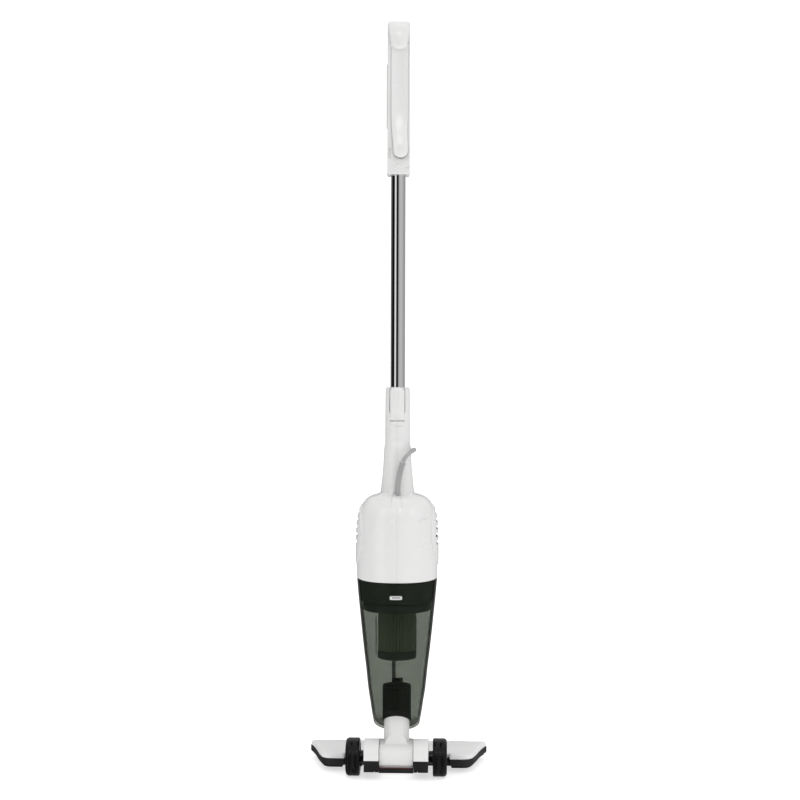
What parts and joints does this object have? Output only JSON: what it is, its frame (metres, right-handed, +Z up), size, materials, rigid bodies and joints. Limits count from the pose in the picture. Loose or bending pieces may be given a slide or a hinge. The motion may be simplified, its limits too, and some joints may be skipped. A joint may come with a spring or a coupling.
{
  "type": "stick vacuum",
  "caption": "Upright corded stick vacuum: floor head with wheels on a tilting neck, clear tinted dust cup, motor unit with hand grip, steel rod and loop handle, lead tied in a hank.",
  "frame": {"origin": "on the floor, under the middle of the box round the vacuum without its lead", "axes": "+Z up along the rod, -Y is the user's side with the cord outlet, +Y is the way the floor head points, +X to the user's right"},
  "size_m": [0.272, 0.2474, 1.1098],
  "materials": {
    "white_plastic": "satin moulded",
    "black_plastic": "moulded",
    "tyre_rubber": "smooth",
    "soft_black": "soft",
    "smoke_clear": "clear tinted",
    "bright_steel": "polished",
    "plain_steel": "plain",
    "grey_plastic": "moulded",
    "cord_grey": "soft cable jacket",
    "filter_paper": "pleated",
    "copper_core": "wound",
    "bristle": "bristle"
  },
  "bodies": {
    "floor_head": {"head_cover": "white_plastic", "head_bumper": "soft_black", "head_sole": "black_plastic", "yoke_left": "black_plastic", "yoke_right": "black_plastic", "yoke_screw_left": "plain_steel", "yoke_screw_right": "plain_steel", "yoke_bar": "black_plastic", "head_axle": "plain_steel", "brush_strip": "bristle", "lint_strip": "soft_black"},
    "wheel_left": {"wheel_hub_left": "black_plastic", "tyre_left": "tyre_rubber"},
    "wheel_right": {"wheel_hub_right": "black_plastic", "tyre_right": "tyre_rubber"},
    "roller_left": {"roller_left": "black_plastic"},
    "roller_right": {"roller_right": "black_plastic"},
    "neck": {"neck_tube": "white_plastic", "neck_seal": "soft_black"},
    "cup": {"dust_cup": "smoke_clear", "inlet_duct": "black_plastic", "flap_pin": "plain_steel", "rear_catch": "white_plastic"},
    "inlet_flap": {"inlet_flap": "soft_black"},
    "motor_unit": {"shell_left": "white_plastic", "shell_right": "white_plastic", "shell_screw_a": "plain_steel", "shell_screw_b": "plain_steel", "shell_screw_c": "plain_steel", "vent_left": "white_plastic", "vent_right": "white_plastic", "motor_skirt": "black_plastic", "fan_cover": "black_plastic", "motor_can": "plain_steel", "motor_mount": "soft_black", "switch_module": "black_plastic", "cord_gland": "white_plastic", "strain_relief": "cord_grey", "cable_clamp": "black_plastic", "mains_lead": "cord_grey", "cord_hank": "cord_grey", "cord_tie": "black_plastic", "plug_body": "cord_grey", "plug_pin_left": "plain_steel", "plug_pin_right": "plain_steel"},
    "rotor": {"motor_rotor": "copper_core", "fan_impeller": "black_plastic"},
    "power_button": {"power_button": "grey_plastic"},
    "cup_button": {"cup_button": "grey_plastic"},
    "rod_latch": {"rod_latch": "white_plastic"},
    "filter": {"filter_frame": "black_plastic", "filter_pleats": "filter_paper", "filter_cap": "black_plastic"},
    "rod": {"rod_tube": "bright_steel", "rod_plug": "black_plastic"},
    "handle": {"handle_shell": "white_plastic", "handle_cover": "white_plastic", "handle_screw": "plain_steel"}
  },
  "joints": [
    {"name": "wheel_left_spin", "type": "hinge", "parent": "floor_head", "child": "wheel_left", "pos_m": [-0.064, -0.02971, 0.0275], "axis": [1, 0, 0], "continuous": true},
    {"name": "wheel_right_spin", "type": "hinge", "parent": "floor_head", "child": "wheel_right", "pos_m": [0.064, -0.02971, 0.0275], "axis": [1, 0, 0], "continuous": true},
    {"name": "roller_left_spin", "type": "hinge", "parent": "floor_head", "child": "roller_left", "pos_m": [-0.06, 0.02229, 0.008], "axis": [1, 0, 0], "continuous": true},
    {"name": "roller_right_spin", "type": "hinge", "parent": "floor_head", "child": "roller_right", "pos_m": [0.06, 0.02229, 0.008], "axis": [1, 0, 0], "continuous": true},
    {"name": "neck_tilt", "type": "hinge", "parent": "floor_head", "child": "neck", "pos_m": [0, -0.02971, 0.0275], "axis": [1, 0, 0], "range_deg": [0, 60]},
    {"name": "cup_pull", "type": "slide", "parent": "neck", "child": "cup", "axis": [0, 0, 1], "range_m": [0, 0.065]},
    {"name": "inlet_flap_swing", "type": "hinge", "parent": "cup", "child": "inlet_flap", "pos_m": [0, 0.00159, 0.1354], "axis": [-1, 0, 0], "range_deg": [0, 38]},
    {"name": "motor_lift", "type": "slide", "parent": "cup", "child": "motor_unit", "axis": [0, 0, 1], "range_m": [0, 0.05]},
    {"name": "rotor_spin", "type": "hinge", "parent": "motor_unit", "child": "rotor", "pos_m": [0, -0.02171, 0.32], "axis": [0, 0, 1], "continuous": true},
    {"name": "filter_twist", "type": "hinge", "parent": "motor_unit", "child": "filter", "pos_m": [0, -0.02171, 0.25], "axis": [0, 0, 1], "range_deg": [0, 30]},
    {"name": "power_press", "type": "slide", "parent": "motor_unit", "child": "power_button", "axis": [0, -1, 0], "range_m": [0, 0.002], "stiffness_N_per_m": 500},
    {"name": "cup_release_press", "type": "slide", "parent": "motor_unit", "child": "cup_button", "axis": [0, -1, 0], "range_m": [0, 0.003], "stiffness_N_per_m": 500},
    {"name": "rod_latch_press", "type": "hinge", "parent": "motor_unit", "child": "rod_latch", "pos_m": [0, -0.04071, 0.525], "axis": [-1, 0, 0], "range_deg": [0, 4], "stiffness_Nm_per_rad": 2},
    {"name": "rod_pull", "type": "slide", "parent": "motor_unit", "child": "rod", "axis": [0, 0, 1], "range_m": [0, 0.06]},
    {"name": "handle_pull", "type": "slide", "parent": "rod", "child": "handle", "axis": [0, 0, 1], "range_m": [0, 0.04]}
  ]
}
